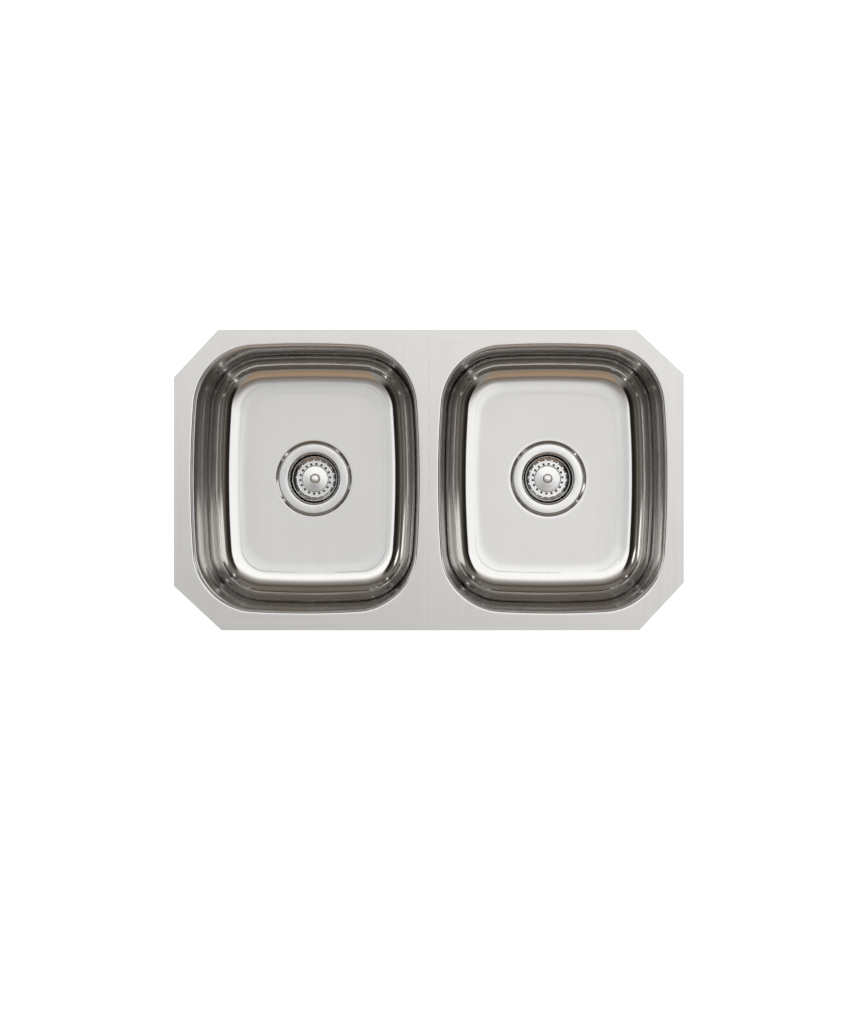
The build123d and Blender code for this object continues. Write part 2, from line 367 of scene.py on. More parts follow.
class NodeBench:
    """Adds nodes to one node tree and joins them."""

    def __init__(self, tree: bpy.types.NodeTree) -> None:
        """Keeps the tree."""
        self.tree = tree

    def add(self, kind: str, inputs: dict | None = None, **settings: object) -> bpy.types.Node:
        """Adds a node.

        Args:
            kind: Node type.
            inputs: Socket name or number to a value, or to a socket to link from.
            settings: Attributes of the node.

        Returns:
            The new node.
        """
        node = self.tree.nodes.new(kind)
        for key, value in settings.items():
            setattr(node, key, value)
        for key, value in (inputs or {}).items():
            self.feed(node, key, value)
        return node

    def feed(self, node: bpy.types.Node, key: str | int, value: Value | Paint | Vector) -> None:
        """Sets one input, or links a socket to it."""
        if isinstance(value, Socket):
            self.tree.links.new(value, node.inputs[key])
        else:
            node.inputs[key].default_value = value

    def math(self, operation: str, first: Value, second: Value = 0.0) -> Socket:
        """Adds a Math node and gives its result."""
        return self.add("ShaderNodeMath", {0: first, 1: second}, operation=operation).outputs[0]

    def product(self, first: Socket, *factors: Value) -> Socket:
        """Multiplies values."""
        for factor in factors:
            first = self.math("MULTIPLY", first, factor)
        return first

    def size(self, value: Socket) -> Socket:
        """A value without its sign."""
        return self.math("ABSOLUTE", value)

    def less(self, first: Value, second: Value) -> Socket:
        """Takes the second value from the first."""
        return self.math("SUBTRACT", first, second)

    def scaled(self, value: Socket, factor: float, offset: Value) -> Socket:
        """Multiplies a value by a factor and adds an offset."""
        inputs = {0: value, 1: factor, 2: offset}
        return self.add("ShaderNodeMath", inputs, operation="MULTIPLY_ADD").outputs[0]

    def span(
        self, value: Socket, low: float, high: float, start: float = 0.0, end: float = 1.0
    ) -> Socket:
        """Maps a value smoothly from low..high to start..end."""
        inputs = {0: value, 1: low, 2: high, 3: start, 4: end}
        return self.add("ShaderNodeMapRange", inputs, interpolation_type="SMOOTHSTEP").outputs[0]

    def blend(self, factor: Value, first: Value, second: Value) -> Socket:
        """Mixes two numbers."""
        inputs = {0: factor, 2: first, 3: second}
        return self.add("ShaderNodeMix", inputs, data_type="FLOAT").outputs[0]

    def tint(self, factor: Value, first: Paint, second: Paint, mode: str = "MIX") -> Socket:
        """Mixes two colours."""
        inputs = {0: factor, 6: first, 7: second}
        return self.add("ShaderNodeMix", inputs, data_type="RGBA", blend_type=mode).outputs[2]

    def shaded(self, colour: Paint, light: Socket) -> Socket:
        """Multiplies a colour by a light value."""
        return self.tint(1.0, colour, self.vector(light, light, light), "MULTIPLY")

    def whole(self) -> Socket:
        """Object coordinates."""
        return self.add("ShaderNodeTexCoord").outputs["Object"]

    def place(self) -> tuple[Socket, Socket, Socket, Socket]:
        """Object coordinates, whole and as X, Y and Z."""
        whole = self.whole()
        return whole, *self.parts(whole)

    def parts(self, vector: Socket) -> list[Socket]:
        """X, Y and Z of a vector."""
        return list(self.add("ShaderNodeSeparateXYZ", {0: vector}).outputs)

    def vector(self, x: Value = 0.0, y: Value = 0.0, z: Value = 0.0) -> Socket:
        """Joins three numbers."""
        return self.add("ShaderNodeCombineXYZ", {0: x, 1: y, 2: z}).outputs[0]

    def distance(self, x: Value, y: Value) -> Socket:
        """Length of a flat vector."""
        flat = self.vector(x, y)
        return self.add("ShaderNodeVectorMath", {0: flat}, operation="LENGTH").outputs[1]

    def noise(
        self,
        place: Socket,
        scale: Value,
        detail: float = 3.0,
        roughness: float = 0.55,
        twist: float = 0.0,
    ) -> Socket:
        """Adds a noise texture and gives its value."""
        inputs = {"Vector": place, "Scale": scale, "Detail": detail}
        inputs |= {"Roughness": roughness, "Distortion": twist}
        return self.add("ShaderNodeTexNoise", inputs).outputs[0]

    def group(self, tree: bpy.types.NodeTree, **inputs: Value) -> bpy.types.bpy_prop_collection:
        """Places a shared node group and gives its outputs."""
        return self.add("ShaderNodeGroup", inputs, node_tree=tree).outputs

    def seen(self) -> Socket:
        """1 for the rays that show a surface: from the camera, in mirrors and through glass."""
        path = self.add("ShaderNodeLightPath").outputs
        seen = self.math("MAXIMUM", path["Is Camera Ray"], path["Is Glossy Ray"])
        return self.math("MAXIMUM", seen, path["Is Transmission Ray"])

    def surface(
        self,
        tone: Socket,
        rough: Socket,
        height: Socket,
        strength: float,
        depth: float,
        metal: float = 1.0,
    ) -> None:
        """Joins a finish to the Principled shader.

        Args:
            tone: Base colour.
            rough: Roughness.
            height: Relief, from 0 to 1.
            strength: Strength of its bump.
            depth: Depth of the relief in metres.
            metal: 1 for steel, 0 for moulded pieces.
        """
        relief = {"Strength": strength, "Distance": depth, "Height": height}
        bump = self.add("ShaderNodeBump", relief).outputs[0]
        shader = self.tree.nodes["Principled BSDF"]
        inputs = {"Base Color": tone, "Roughness": rough, "Metallic": metal, "Normal": bump}
        for key, value in inputs.items():
            self.feed(shader, key, value)

    def show(self, shader: bpy.types.Node) -> None:
        """Joins a shader to the material's output."""
        self.feed(self.tree.nodes["Material Output"], "Surface", shader.outputs[0])


def rgba(colour: Colour) -> tuple[float, float, float, float]:
    """A colour with full alpha."""
    return (*colour, 1.0)


class Effects:
    """Surface effects that several finishes share, each a node group made once."""

    coarse_share: float = 0.4
    line_span: Span = (0.25, 0.75)
    small_share: float = 0.35
    patch_span: Span = (0.3, 0.7)
    dull_span: Span = (0.4, 0.75)
    skin_cloud: float = 60.0
    dust_cloud: float = 90.0
    dust_span: Span = (0.35, 0.7)
    lying_span: Span = (0.2, 0.9)

    def __init__(self) -> None:
        """Makes the groups."""
        self.grain = self.make_grain()
        self.smudge = self.make_smudge()
        self.pebble = self.make_pebble()
        self.dust = self.make_dust()

    @staticmethod
    def start(
        name: str, numbers: Sequence[str], outputs: Sequence[str]
    ) -> tuple[NodeBench, bpy.types.bpy_prop_collection, bpy.types.Node]:
        """Starts a group with a Place input.

        Args:
            name: Name of the group.
            numbers: Names of its number inputs.
            outputs: Names of its outputs.

        Returns:
            The bench, the inputs by name and the output node.
        """
        tree = bpy.data.node_groups.new(name, "ShaderNodeTree")
        tree.interface.new_socket("Place", in_out="INPUT", socket_type="NodeSocketVector")
        for key in numbers:
            tree.interface.new_socket(key, in_out="INPUT", socket_type="NodeSocketFloat")
        for key in outputs:
            tree.interface.new_socket(key, in_out="OUTPUT", socket_type="NodeSocketFloat")
        bench = NodeBench(tree)
        return bench, bench.add("NodeGroupInput").outputs, bench.add("NodeGroupOutput")

    def make_grain(self) -> bpy.types.NodeTree:
        """Brush lines along the first axis of the place it is given."""
        numbers, outputs = ("Fine", "Coarse", "Length"), ("Height", "Shade")
        bench, entry, leave = self.start("brush_grain", numbers, outputs)
        x, y, z = bench.parts(entry["Place"])
        along = bench.product(x, entry["Length"])
        fine = bench.vector(along, bench.product(y, entry["Fine"]), z)
        coarse = bench.vector(along, bench.product(y, entry["Coarse"]), z)
        fine, coarse = bench.noise(fine, 1.0, detail=2.0), bench.noise(coarse, 1.0)
        bench.feed(leave, "Height", bench.blend(self.coarse_share, fine, coarse))
        bench.feed(leave, "Shade", bench.span(coarse, *self.line_span))
        return bench.tree

    def make_smudge(self) -> bpy.types.NodeTree:
        """Wipe marks and cloudy patches at two sizes."""
        bench, entry, leave = self.start("smudge", ("Large", "Small"), ("Shade", "Dull"))
        place, large, small = entry["Place"], entry["Large"], entry["Small"]
        large = bench.noise(place, large, detail=2.0, roughness=0.5, twist=0.2)
        small = bench.noise(place, small, detail=2.0, roughness=0.5, twist=0.3)
        patchy = bench.blend(self.small_share, large, small)
        bench.feed(leave, "Shade", bench.span(patchy, *self.patch_span))
        bench.feed(leave, "Dull", bench.span(small, *self.dull_span))
        return bench.tree

    def make_pebble(self) -> bpy.types.NodeTree:
        """Fine pebbled skin of moulded rubber and plastic."""
        bench, entry, leave = self.start("pebble", ("Size",), ("Height", "Shade"))
        inputs = {"Vector": entry["Place"], "Scale": entry["Size"]}
        cells = bench.add("ShaderNodeTexVoronoi", inputs, feature="SMOOTH_F1").outputs["Distance"]
        cloud = bench.noise(entry["Place"], self.skin_cloud, detail=4.0)
        bench.feed(leave, "Height", cells)
        bench.feed(leave, "Shade", bench.span(cloud, *self.patch_span))
        return bench.tree

    def make_dust(self) -> bpy.types.NodeTree:
        """Mask of dust that gathers on surfaces facing up."""
        bench, entry, leave = self.start("dust", ("Amount",), ("Mask",))
        up = bench.parts(bench.add("ShaderNodeNewGeometry").outputs["Normal"])[2]
        cloud = bench.noise(entry["Place"], self.dust_cloud, detail=5.0)
        cloud = bench.span(cloud, *self.dust_span)
        lying = bench.span(up, *self.lying_span)
        bench.feed(leave, "Mask", bench.product(lying, cloud, entry["Amount"]))
        return bench.tree


def new_finish(name: str) -> tuple[Material, NodeBench]:
    """Starts a material and gives it with its bench."""
    material = bpy.data.materials.new(name)
    material.use_nodes = True
    return material, NodeBench(material.node_tree)


@dataclass(frozen=True)
class Grain:
    """Brush lines of a finish: fine and coarse lines per metre, and how fast they change along."""

    fine: float = 900.0
    coarse: float = 220.0
    length: float = 9.0

    def lay(self, bench: NodeBench, effects: Effects, place: Socket) -> tuple[Socket, Socket]:
        """Height and shade of the lines."""
        sizes = {"Fine": self.fine, "Coarse": self.coarse, "Length": self.length}
        lines = bench.group(effects.grain, Place=place, **sizes)
        return lines["Height"], lines["Shade"]


@dataclass(frozen=True)
class Wear:
    """Wipe marks of a finish: their sizes per metre, and how far they change light and gloss."""

    large: float
    small: float
    darkest: float
    swing: float
    dulling: float

    def lay(
        self, bench: NodeBench, effects: Effects, place: Socket, rough: Value
    ) -> tuple[Socket, Socket]:
        """Lays the marks.

        Args:
            bench: Bench of the finish.
            effects: Shared effects.
            place: Place that the marks read.
            rough: Roughness without them.

        Returns:
            The light that they leave and the roughness with them.
        """
        marks = bench.group(effects.smudge, Place=place, Large=self.large, Small=self.small)
        light = bench.scaled(marks["Shade"], self.swing, self.darkest)
        return light, bench.scaled(marks["Dull"], self.dulling, rough)


@dataclass(frozen=True)
class BrushedFlange:
    """Brushed top face: lines run along each strip, with the ground seam in the middle."""

    colour: Colour = (0.665, 0.656, 0.646)
    roughness: float = 0.25
    line_roughness: float = 0.1
    line_darkest: float = 0.95
    line_swing: float = 0.05
    line_strength: float = 0.1
    line_depth: float = 0.05 * MM
    grain: Grain = Grain(700.0, 130.0, 3.0)
    wear: Wear = Wear(5.0, 14.0, 0.97, 0.05, 0.03)
    strip_start: float = 200 * MM
    strip_end: float = 214 * MM
    seam_width: float = 0.9 * MM
    seam_dark: float = 0.16
    seam_faint: float = 0.15
    seam_patches: float = 45.0
    seam_span: Span = (0.4, 0.6)

    def make(self, effects: Effects) -> Material:
        """Builds the material."""
        material, bench = new_finish("flange_brushed")
        whole, x, y, _z = bench.place()
        height_x, shade_x = self.grain.lay(bench, effects, whole)
        height_y, shade_y = self.grain.lay(bench, effects, bench.vector(y, x))
        strip = bench.span(bench.size(y), self.strip_start, self.strip_end)
        height = bench.blend(strip, height_y, height_x)
        shade = bench.blend(strip, shade_y, shade_x)
        rough = bench.scaled(height, self.line_roughness, self.roughness)
        light, rough = self.wear.lay(bench, effects, whole, rough)
        lines = bench.scaled(shade, self.line_swing, self.line_darkest)
        seam = bench.span(bench.size(x), 0.0, self.seam_width, self.seam_dark, 0.0)
        patches = bench.noise(bench.vector(0.0, y), self.seam_patches)
        seam = bench.product(seam, bench.span(patches, *self.seam_span, self.seam_faint, 1.0))
        light = bench.product(light, lines, bench.less(1.0, seam))
        tone = bench.shaded(rgba(self.colour), light)
        bench.surface(tone, rough, height, self.line_strength, self.line_depth)
        return material


@dataclass(frozen=True)
class DrawnBowl:
    """Inside of a bowl: mirror-bright drawn walls and radius, a satin floor and a painted shade
    line where it starts.
    """

    colour: Colour = (0.66, 0.654, 0.646)
    wall_roughness: float = 0.07
    floor_roughness: float = 0.285
    grain: Grain = Grain(coarse=160.0, length=4.0)
    wear: Wear = Wear(4.0, 9.0, 0.975, 0.035, 0.025)
    ring_drift: float = 3.0
    wide_rings: float = 55.0
    fine_rings: float = 420.0
    fine_share: float = 0.02
    brush_height: float = 0.08
    brush_darkest: float = 0.99
    brush_swing: float = 0.02
    relief_strength: float = 1.0
    relief_depth: float = 0.05 * MM
    # Painted shade: a broken dark line in the crease where the floor starts, strongest in front.
    shade_line_width: float = 1.1 * MM
    shade_line_dark: float = 0.35
    shade_line_breaks: float = 8.0
    break_span: Span = (0.42, 0.58)
    shade_line_front: float = -150 * MM
    shade_line_rear: float = -90 * MM
    shade_line_faint: float = 0.3

    def make(self, effects: Effects) -> Material:
        """Builds the material."""
        material, bench = new_finish("bowl_drawn")
        whole, x, y, _z = bench.place()
        down, satin = (
            bench.add("ShaderNodeAttribute", attribute_name=layer.value).outputs["Fac"]
            for layer in (Layer.DOWN, Layer.SATIN)
        )
        satin = bench.span(satin, 0.0, 1.0)
        # Drawing rings: low waves that follow the rim, uneven along their length.
        drift = [bench.product(axis, self.ring_drift) for axis in (x, y)]
        wide = bench.vector(*drift, bench.product(down, self.wide_rings))
        fine = bench.vector(*drift, bench.product(down, self.fine_rings))
        brush, streaks = self.grain.lay(bench, effects, bench.vector(y, x))
        wide, fine = bench.noise(wide, 1.0, detail=2.0), bench.noise(fine, 1.0, detail=1.0)
        rings = bench.blend(self.fine_share, wide, fine)
        height = bench.blend(satin, rings, bench.product(brush, self.brush_height))
        rough = bench.blend(satin, self.wall_roughness, self.floor_roughness)
        light, rough = self.wear.lay(bench, effects, whole, rough)
        streaks = bench.scaled(streaks, self.brush_swing, self.brush_darkest)
        # A broken dark line of painted shade marks the start of the floor, darkest in front.
        mark = bench.span(bench.size(down), 0.0, self.shade_line_width, self.shade_line_dark, 0.0)
        breaks = bench.noise(whole, self.shade_line_breaks, detail=2.0)
        breaks = bench.span(breaks, *self.break_span)
        ahead = bench.span(y, self.shade_line_front, self.shade_line_rear, 1.0, self.shade_line_faint)
        light = bench.product(light, streaks, bench.less(1.0, bench.product(mark, breaks, ahead)))
        tone = bench.shaded(rgba(self.colour), light)
        bench.surface(tone, rough, height, self.relief_strength, self.relief_depth)
        return material


@dataclass(frozen=True)
class MillSteel:
    """Unpolished outside of the pressing, with drawing streaks down its walls."""

    colour: Colour = (0.49, 0.483, 0.473)
    roughness: float = 0.36
    grain: Grain = Grain(420.0, 70.0, 5.0)
    wear: Wear = Wear(12.0, 55.0, 0.94, 0.06, 0.05)
    streak_darkest: float = 0.9
    streak_swing: float = 0.12
    streak_strength: float = 0.5
    streak_depth: float = 0.1 * MM

    def make(self, effects: Effects) -> Material:
        """Builds the material."""
        material, bench = new_finish("bowl_underside")
        whole, x, y, z = bench.place()
        place = bench.vector(z, bench.math("ADD", x, y), bench.less(x, y))
        height, shade = self.grain.lay(bench, effects, place)
        light, rough = self.wear.lay(bench, effects, whole, self.roughness)
        light = bench.product(light, bench.scaled(shade, self.streak_swing, self.streak_darkest))
        tone = bench.shaded(rgba(self.colour), light)
        bench.surface(tone, rough, height, self.streak_strength, self.streak_depth)
        return material


@dataclass(frozen=True)
class TurnedSteel:
    """Polished waste steel with faint turning lines round its axis."""

    name: str
    colour: Colour = (0.68, 0.675, 0.67)
    roughness: float = 0.1
    wear: Wear = Wear(60.0, 240.0, 0.94, 0.08, 0.06)
    lines: float = 1400.0
    line_strength: float = 0.4
    line_depth: float = 0.03 * MM

    def make(self, effects: Effects, drain: Vector) -> Material:
        """Builds the material.

        Args:
            effects: Shared effects.
            drain: Axis of the right waste; the left one mirrors it.

        Returns:
            The material.
        """
        material, bench = new_finish(self.name)
        whole, x, y, z = bench.place()
        radius = bench.distance(bench.less(bench.size(x), drain.x), bench.less(y, drain.y))
        place = bench.vector(0.0, bench.product(radius, self.lines), bench.product(z, self.lines))
        light, rough = self.wear.lay(bench, effects, whole, self.roughness)
        tone = bench.shaded(rgba(self.colour), light)
        height = bench.noise(place, 1.0, detail=2.0)
        bench.surface(tone, rough, height, self.line_strength, self.line_depth)
        return material


@dataclass(frozen=True)
class WeldSteel:
    """Weld bead with the straw and blue of its heat."""

    colour: Colour = (0.46, 0.43, 0.4)
    straw: Colour = (0.5, 0.38, 0.2)
    blue: Colour = (0.24, 0.27, 0.36)
    roughness: float = 0.38
    wear: Wear = Wear(40.0, 300.0, 0.8, 0.3, 0.2)
    heat_start: float = 0.8 * MM
    heat_end: float = 2.4 * MM
    blue_patches: float = 30.0
    blue_span: Span = (0.42, 0.62)
    relief_strength: float = 0.5
    relief_depth: float = 0.1 * MM

    def make(self, effects: Effects) -> Material:
        """Builds the material."""
        material, bench = new_finish("weld_bead")
        whole, x, y, _z = bench.place()
        edge = bench.span(bench.size(x), self.heat_start, self.heat_end)
        patches = bench.noise(bench.vector(0.0, y), self.blue_patches)
        patches = bench.span(patches, *self.blue_span)
        tone = bench.tint(edge, rgba(self.colour), rgba(self.straw))
        tone = bench.tint(bench.product(edge, patches), tone, rgba(self.blue))
        light, rough = self.wear.lay(bench, effects, whole, self.roughness)
        # The marks are the relief too, so their swing is divided out of the depth.
        depth = self.relief_depth / self.wear.swing
        bench.surface(bench.shaded(tone, light), rough, light, self.relief_strength, depth)
        return material


@dataclass(frozen=True)
class Moulded:
    """Moulded rubber, fibre or plastic with a pebbled skin and some dust."""

    name: str
    colour: Colour
    worn: Colour
    roughness: float
    grain: float = 900.0
    depth: float = 0.06 * MM
    dust: float = 0.35
    dust_colour: Colour = (0.42, 0.4, 0.37)
    skin_strength: float = 0.6
    large_marks: float = 30.0
    small_marks: float = 150.0
    dulling: float = 0.18

    def make(self, effects: Effects) -> Material:
        """Builds the material."""
        material, bench = new_finish(self.name)
        whole = bench.whole()
        skin = bench.group(effects.pebble, Place=whole, Size=self.grain)
        dust = bench.group(effects.dust, Place=whole, Amount=self.dust)
        tone = bench.tint(skin["Shade"], rgba(self.colour), rgba(self.worn))
        tone = bench.tint(dust["Mask"], tone, rgba(self.dust_colour))
        sizes = {"Large": self.large_marks, "Small": self.small_marks}
        dull = bench.group(effects.smudge, Place=whole, **sizes)["Dull"]
        rough = bench.scaled(dull, self.dulling, self.roughness)
        bench.surface(tone, rough, skin["Height"], self.skin_strength, self.depth, 0.0)
        return material


@dataclass
class BowlPressing:
    """One drawn bowl with its half of the flange, in metres."""

    side: Side
    mouth_width: float = 354 * MM
    mouth_length: float = 416 * MM
    depth: float = 190 * MM
    corner_radius: float = 98 * MM
    side_bow: float = 12.5 * MM
    end_bow: float = 9.5 * MM
    draft: float = math.radians(2.5)
    floor_radius: float = 46 * MM
    floor_dish: float = 5500 * MM
    rim_roll: float = 5 * MM
    sheet: float = 1 * MM
    recess_radius: float = 61.2 * MM
    recess_lean: float = 6.6 * MM
    recess_depth: float = 5 * MM
    recess_edge: float = 3 * MM
    recess_corner: float = 2 * MM
    drain_hole: float = 44.5 * MM
    clip_short: float = 68 * MM
    clip_long: float = 73 * MM
    rim_support: float = 2 * MM
    polish_fade: float = 9 * MM
    around: int = 240
    arc_steps: int = 16
    wall_steps: int = 8
    floor_steps: int = 10
    flange_cuts: int = 30

    def mouth(self) -> list[tuple[Vector, Vector]]:
        """Samples the mouth.

        Returns:
            Points about the mouth's middle with their outward directions.
        """
        half_x = self.mouth_width / 2
        half_y = self.mouth_length / 2
        reach_y = half_y - self.end_bow
        reach_x = half_x - self.side_bow
        side_arc = (self.side_bow**2 + reach_y**2) / (2 * self.side_bow)
        end_arc = (self.end_bow**2 + reach_x**2) / (2 * self.end_bow)
        side_centre = Vector((half_x - side_arc, 0.0))
        end_centre = Vector((0.0, half_y - end_arc))
        corner = self.corner_centre(side_centre, side_arc, end_centre, end_arc)
        side_turn = (corner - side_centre).angle(Vector((1.0, 0.0)))
        end_turn = (corner - end_centre).angle(Vector((1.0, 0.0)))
        quarter = self.around // 4
        third = quarter // 3
        arcs = [
            (side_centre, side_arc, 0.0, side_turn, third),
            (corner, self.corner_radius, side_turn, end_turn, quarter - 2 * third),
            (end_centre, end_arc, end_turn, math.pi / 2, third),
        ]
        samples: list[tuple[Vector, Vector]] = []
        for centre, radius, start, end, count in arcs:
            for step in range(count):
                turn = start + (end - start) * step / count
                outward = Vector((math.cos(turn), math.sin(turn)))
                samples.append((centre + outward * radius, outward))
        mirrored = [(Vector((-p.x, p.y)), Vector((-n.x, n.y))) for p, n in reversed(samples)]
        top = [(Vector((0.0, half_y)), Vector((0.0, 1.0)))]
        half = samples + top + mirrored[:-1]
        lower = [(Vector((-p.x, -p.y)), Vector((-n.x, -n.y))) for p, n in half]
        return half + lower

    def corner_centre(
        self, first: Vector, first_arc: float, second: Vector, second_arc: float
    ) -> Vector:
        """Finds the middle of the corner arc that touches both bowed walls from inside.

        Args:
            first: Middle of the side wall's arc.
            first_arc: Its radius.
            second: Middle of the end wall's arc.
            second_arc: Its radius.

        Returns:
            The corner arc's middle.
        """
        near = first_arc - self.corner_radius
        far = second_arc - self.corner_radius
        line = second - first
        gap = line.length
        along = (near**2 - far**2 + gap**2) / (2 * gap)
        height = math.sqrt(near**2 - along**2)
        unit = line / gap
        left = Vector((-unit.y, unit.x))
        options = [first + unit * along + left * height, first + unit * along - left * height]
        return max(options, key=lambda point: point.x + point.y)

    def floor_height(self, radius: float) -> float:
        """Height of the dished floor at a distance from the drain."""
        return -self.depth + radius**2 / (2 * self.floor_dish)

    def section(self, point: Vector, outward: Vector) -> list[Vector]:
        """Path from the flange down the wall to the floor, below one point of the mouth.

        Args:
            point: Point of the mouth.
            outward: Its outward direction.

        Returns:
            Stations as (distance in from the mouth, height).
        """
        wall_inset = self.rim_roll * math.tan(math.pi / 4 - self.draft / 2)
        inset = wall_inset + self.depth * math.tan(self.draft)
        floor = self.floor_height((point - outward * inset).length)
        corners = [
            Corner(-self.rim_support, 0.0),
            Corner(wall_inset, 0.0, self.rim_roll),
            Corner(inset, floor, self.floor_radius),
            Corner(point.length, self.floor_height(0.0)),
        ]
        return rounded_path(corners, self.arc_steps)[:-1]

    def recess(self) -> list[Vector]:
        """Path from the floor into the drain recess and to its hole, as (radius, height)."""
        start = self.recess_radius + 2 * self.recess_edge
        seat = -self.depth - self.recess_depth
        corners = [
            Corner(start, self.floor_height(start)),
            Corner(self.recess_radius, self.floor_height(self.recess_radius), self.recess_edge),
            Corner(self.recess_radius - self.recess_lean, seat, self.recess_corner),
            Corner(self.drain_hole, seat),
        ]
        return rounded_path(corners, self.arc_steps // 2)

    def build(self) -> Piece:
        """Models the pressing as a skin and gives it the sheet's thickness."""
        bm = bmesh.new()
        samples = self.mouth()
        sections = [self.section(point, outward) for point, outward in samples]
        middle = self.side.drain

        def place(flat: Vector, height: float) -> Vector:
            """A point from its place about the drain."""
            return Vector((flat.x + middle.x, flat.y + middle.y, height))

        rings = [
            [place(p - n * spot.x, spot.y) for (p, n), spot in zip(samples, stations)]
            for stations in zip(*sections)
        ]
        wall_top = 1 + self.arc_steps
        wall_end = wall_top + 1
        runs = [0.0]
        for first, second in zip(sections[0], sections[0][1:]):
            runs.append(runs[-1] + (second - first).length)
        floor_start = runs[-1]
        skin = BowlSkin(bm, rings[0], -floor_start)
        mouth_edges = skin.edges
        for index in range(1, len(rings)):
            zone = Zone.FLANGE if index == 1 else Zone.BOWL
            if index == wall_end:
                for step in range(1, self.wall_steps):
                    share = step / self.wall_steps
                    pairs = zip(rings[wall_top], rings[wall_end])
                    run = runs[wall_top] + (runs[wall_end] - runs[wall_top]) * share
                    skin.lay([a.lerp(b, share) for a, b in pairs], zone, run - floor_start)
            skin.lay(rings[index], zone, runs[index] - floor_start)
        flats = [Vector((p.x - middle.x, p.y - middle.y)) for p in rings[-1]]
        recess = self.recess()
        goal = [flat.normalized() * recess[0].x for flat in flats]
        reach = (flats[0] - goal[0]).length
        stops = [step / self.floor_steps for step in range(2, self.floor_steps + 1)]
        for share in [self.polish_fade / reach, *stops]:
            flat_ring = [a.lerp(b, share) for a, b in zip(flats, goal)]
            points = [place(flat, self.floor_height(flat.length)) for flat in flat_ring]
            skin.lay(points, Zone.BOWL, share * reach, 1.0)
        for station in recess[1:]:
            points = [place(flat.normalized() * station.x, station.y) for flat in flats]
            skin.lay(points, Zone.BOWL, reach + recess[0].x - station.x)
        self.flange(bm, mouth_edges)
        bmesh.ops.recalc_face_normals(bm, faces=bm.faces)
        if max(bm.faces, key=lambda face: face.calc_center_median().z).normal.z < 0:
            bmesh.ops.reverse_faces(bm, faces=bm.faces)
        piece = to_object(self.side.node("bowl_pressing"), bm)
        wall = piece.modifiers.new("sheet", "SOLIDIFY")
        wall.thickness = self.sheet
        wall.offset = -1.0
        wall.use_even_offset = True
        wall.material_offset = Zone.UNDERSIDE.value
        return piece

    def flange(self, bm: Mesh, mouth_edges: list[bmesh.types.BMEdge]) -> None:
        """Adds the flat half flange outside the mouth.

        Args:
            bm: Mesh of the pressing.
            mouth_edges: Ring of edges that the flange joins.
        """
        low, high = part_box(self.side.node("bowl"))
        outer = low[0] if self.side is Side.LEFT else high[0]
        inward = -self.side.value
        rear, front = (self.clip_short, self.clip_long), (self.clip_long, self.clip_short)
        if self.side is Side.RIGHT:
            rear, front = front, rear
        points = [
            (0.0, low[1]),
            (outer + inward * front[0], low[1]),
            (outer, low[1] + front[1]),
            (outer, high[1] - rear[1]),
            (outer + inward * rear[0], high[1]),
            (0.0, high[1]),
        ]
        corners = [bm.verts.new((x, y, 0.0)) for x, y in points]
        outline = [bm.edges.new(pair) for pair in zip(corners, corners[1:] + corners[:1])]
        cut = bmesh.ops.subdivide_edges(bm, edges=outline, cuts=self.flange_cuts)
        border = [item for item in cut["geom"] if isinstance(item, bmesh.types.BMEdge)]
        made = bmesh.ops.triangle_fill(bm, edges=border + mouth_edges, use_beauty=True)
        for item in made["geom"]:
            if isinstance(item, bmesh.types.BMFace):
                item.material_index = Zone.FLANGE.value

    def dress(self, piece: Piece, finishes: Sequence[Material]) -> None:
        """Gives the pressing its finishes and puts it on its body."""
        for material in finishes[:-1]:
            piece.data.materials.append(material)
        settle(piece, finishes[-1], "sink_steel", "sink", self.side.node("bowl"))


@dataclass
class WeldBead:
    """Root bead of the seam under the flange, laid in overlapping ripples, in metres."""

    width: float = 5 * MM
    height: float = 1.2 * MM
    sheet: float = 1 * MM
    ripple: float = 3.6 * MM
    ripple_depth: float = 0.22
    ripple_bow: float = 1.3 * MM
    steps: int = 5
    across: int = 9
    sharp_angle: float = 60.0

    def ring_at(self, along: float, fullness: float, bow: float) -> list[Vector]:
        """One outline of the bead.

        Args:
            along: Place on the seam.
            fullness: Share of the full height.
            bow: How far the outline's middle runs ahead.

        Returns:
            Points across the bead's round side, then back along its flat side.
        """
        round_side: list[Vector] = []
        flat_side: list[Vector] = []
        for index in range(self.across):
            share = 2 * index / (self.across - 1) - 1
            lift = 1 - share**2
            x = share * self.width / 2
            y = along + bow * lift
            round_side.append(Vector((x, y, -self.sheet - self.height * fullness * lift)))
            if abs(share) < 1:
                flat_side.append(Vector((x, y, -self.sheet)))
        return round_side + flat_side[::-1]

    def build(self) -> Piece:
        """Models the bead along the seam."""
        low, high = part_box("centre_weld")
        bm = bmesh.new()
        count = round((high[1] - low[1]) / self.ripple) * self.steps
        skin: RingSkin | None = None
        for index in range(count + 1):
            inner = 0 < index < count
            along = low[1] + (high[1] - low[1]) * index / count
            phase = (index % self.steps) / self.steps
            fullness = 1 - self.ripple_depth * phase**2 if inner else 1 - self.ripple_depth
            room = min(1.0, (high[1] - along) / self.ripple)
            points = self.ring_at(along, fullness, self.ripple_bow * room if inner else 0.0)
            if skin is None:
                skin = RingSkin(bm, points)
                bm.faces.new(skin.ring)
            else:
                skin.grow(points)
        bm.faces.new(skin.ring)
        closed_up(bm)
        return to_object("weld_bead", bm, self.sharp_angle)

    def dress(self, piece: Piece, finish: Material) -> None:
        """Gives the bead its finish and puts it on its body."""
        settle(piece, finish, "weld_steel", "sink", "centre_weld")


